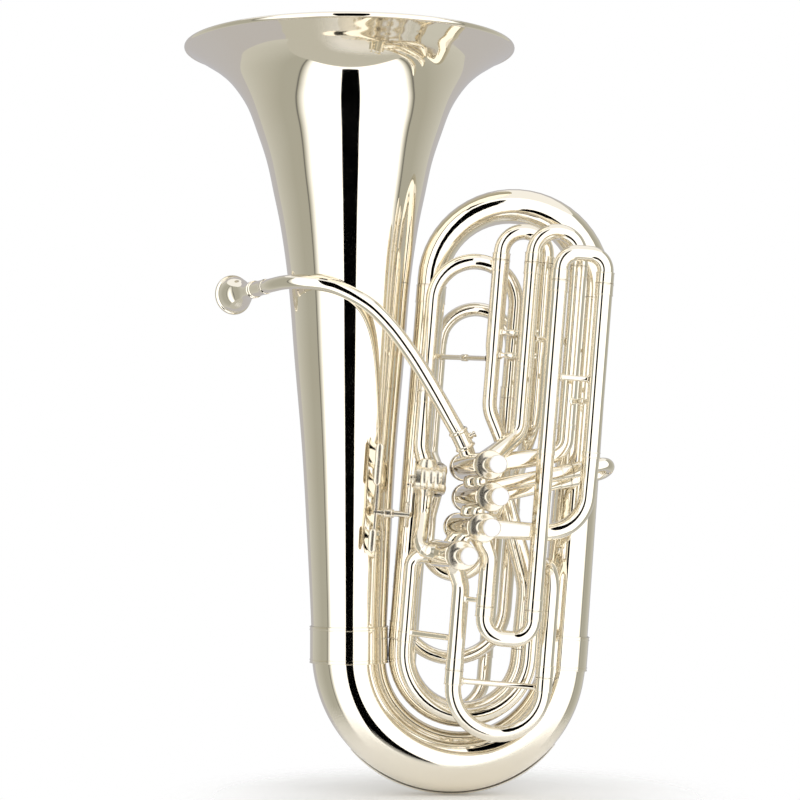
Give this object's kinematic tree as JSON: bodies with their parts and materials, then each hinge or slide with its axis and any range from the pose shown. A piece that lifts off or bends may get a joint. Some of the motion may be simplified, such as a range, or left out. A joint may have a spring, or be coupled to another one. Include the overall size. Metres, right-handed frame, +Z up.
{
  "type": "tuba",
  "caption": "Compact silver-plated F tuba with front-action piston valves, a rotary valve worked by a finger lever, and sliding tuning slides.",
  "frame": {"origin": "lowest point of the bottom bow's guard, in the plane of the bell's axis", "axes": "+Z up along the bell, +X to the audience's right, +Y towards the player"},
  "size_m": [0.4769, 0.37, 0.833],
  "materials": {
    "silver_plate": "polished silver plate on brass",
    "trim": "polished silver plate on nickel silver",
    "monel": "honed nickel alloy",
    "spring_steel": "plain spring wire",
    "button": "polished silver plate",
    "pearl": "mother of pearl inlay"
  },
  "bodies": {
    "root": {"bell": "silver_plate", "bell_ferrule": "silver_plate", "bottom_bow": "silver_plate", "bow_ferrule": "silver_plate", "outer_branch": "silver_plate", "top_bow": "silver_plate", "inner_branch": "silver_plate", "inner_bow": "silver_plate", "valve_block": "silver_plate", "second_valve_tubes": "silver_plate", "first_valve_tubes": "silver_plate", "third_valve_tubes": "silver_plate", "third_valve_return": "silver_plate", "fourth_valve_inlet": "silver_plate", "fourth_valve_return": "silver_plate", "fifth_valve_front_tube": "silver_plate", "fifth_valve_lower_tube": "silver_plate", "fifth_valve_rear_tube": "silver_plate", "tuning_slide_riser": "silver_plate", "tuning_slide_sleeve": "silver_plate", "rotor_inlet": "silver_plate", "rotor_casing": "silver_plate", "leadpipe": "silver_plate", "mouthpiece_receiver": "silver_plate", "bow_guard": "trim", "rotor_cap": "trim", "lever_bracket": "trim", "leadpipe_collar": "trim", "bottom_cap_1": "trim", "top_cap_1": "trim", "piston_spring_1": "spring_steel", "bottom_cap_2": "trim", "top_cap_2": "trim", "piston_spring_2": "spring_steel", "bottom_cap_3": "trim", "top_cap_3": "trim", "piston_spring_3": "spring_steel", "bottom_cap_4": "trim", "top_cap_4": "trim", "piston_spring_4": "spring_steel"},
    "valve_1": {"piston_1": "monel", "finger_button_1": "button"},
    "valve_2": {"piston_2": "monel", "finger_button_2": "button"},
    "valve_3": {"piston_3": "monel", "finger_button_3": "button"},
    "valve_4": {"piston_4": "monel", "finger_button_4": "button"},
    "tuning_slide": {"tuning_slide": "silver_plate"},
    "first_valve_slide": {"first_valve_slide": "silver_plate"},
    "second_valve_slide": {"second_valve_slide": "silver_plate"},
    "third_valve_upper_slide": {"third_valve_upper_slide": "silver_plate"},
    "third_valve_lower_slide": {"third_valve_lower_slide": "silver_plate"},
    "fourth_valve_slide": {"fourth_valve_slide": "silver_plate"},
    "fifth_valve_slide": {"fifth_valve_slide": "silver_plate"},
    "mouthpiece": {"mouthpiece": "silver_plate"},
    "rotor": {"rotor": "trim", "rotor_arm": "trim"},
    "link_rod": {"link_rod": "trim"},
    "finger_lever": {"finger_lever": "trim"}
  },
  "joints": [
    {"name": "valve_1_press", "type": "slide", "parent": "root", "child": "valve_1", "axis": [-0.1994, 0.9799, 0], "range_m": [0, 0.017], "stiffness_N_per_m": 200, "springref_m": -0.012},
    {"name": "valve_2_press", "type": "slide", "parent": "root", "child": "valve_2", "axis": [-0.1994, 0.9799, 0], "range_m": [0, 0.017], "stiffness_N_per_m": 200, "springref_m": -0.012},
    {"name": "valve_3_press", "type": "slide", "parent": "root", "child": "valve_3", "axis": [-0.1994, 0.9799, 0], "range_m": [0, 0.017], "stiffness_N_per_m": 200, "springref_m": -0.012},
    {"name": "valve_4_press", "type": "slide", "parent": "root", "child": "valve_4", "axis": [-0.1994, 0.9799, 0], "range_m": [0, 0.017], "stiffness_N_per_m": 200, "springref_m": -0.012},
    {"name": "tuning_slide_pull", "type": "slide", "parent": "root", "child": "tuning_slide", "axis": [0.0828, 0, 0.9966], "range_m": [0, 0.042]},
    {"name": "first_valve_slide_pull", "type": "slide", "parent": "root", "child": "first_valve_slide", "axis": [0.0828, 0, 0.9966], "range_m": [0, 0.06]},
    {"name": "second_valve_slide_pull", "type": "slide", "parent": "root", "child": "second_valve_slide", "axis": [0.9616, 0.1916, 0.1967], "range_m": [0, 0.045]},
    {"name": "third_valve_upper_slide_pull", "type": "slide", "parent": "root", "child": "third_valve_upper_slide", "axis": [0.0828, 0, 0.9966], "range_m": [0, 0.06]},
    {"name": "third_valve_lower_slide_pull", "type": "slide", "parent": "root", "child": "third_valve_lower_slide", "axis": [-0.0828, 0, -0.9966], "range_m": [0, 0.024]},
    {"name": "fourth_valve_slide_pull", "type": "slide", "parent": "root", "child": "fourth_valve_slide", "axis": [-0.0828, 0, -0.9966], "range_m": [0, 0.05]},
    {"name": "fifth_valve_slide_pull", "type": "slide", "parent": "root", "child": "fifth_valve_slide", "axis": [0.0828, 0, 0.9966], "range_m": [0, 0.06]},
    {"name": "mouthpiece_pull", "type": "slide", "parent": "root", "child": "mouthpiece", "axis": [-0.5007, 0.8651, -0.03], "range_m": [0, 0.022]},
    {"name": "rotor_turn", "type": "hinge", "parent": "root", "child": "rotor", "pos_m": [-0.03276, -0.035, 0.34841], "axis": [-0.9966, 0, 0.0828], "range_deg": [0, 90], "stiffness_Nm_per_rad": 0.06, "springref_deg": -22.92},
    {"name": "link_rod_shift", "type": "slide", "parent": "root", "child": "link_rod", "axis": [0, -1, 0], "range_m": [0, 0.0171]},
    {"name": "finger_lever_swing", "type": "hinge", "parent": "root", "child": "finger_lever", "pos_m": [-0.07456, -0.057, 0.31033], "axis": [0.9966, 0, -0.0828], "range_deg": [0, 29]}
  ],
  "couplings": [
    {"joint": "link_rod_shift", "follows": "rotor_turn", "m_per_rad": 0.010804},
    {"joint": "finger_lever_swing", "follows": "rotor_turn", "ratio": 0.32111}
  ]
}
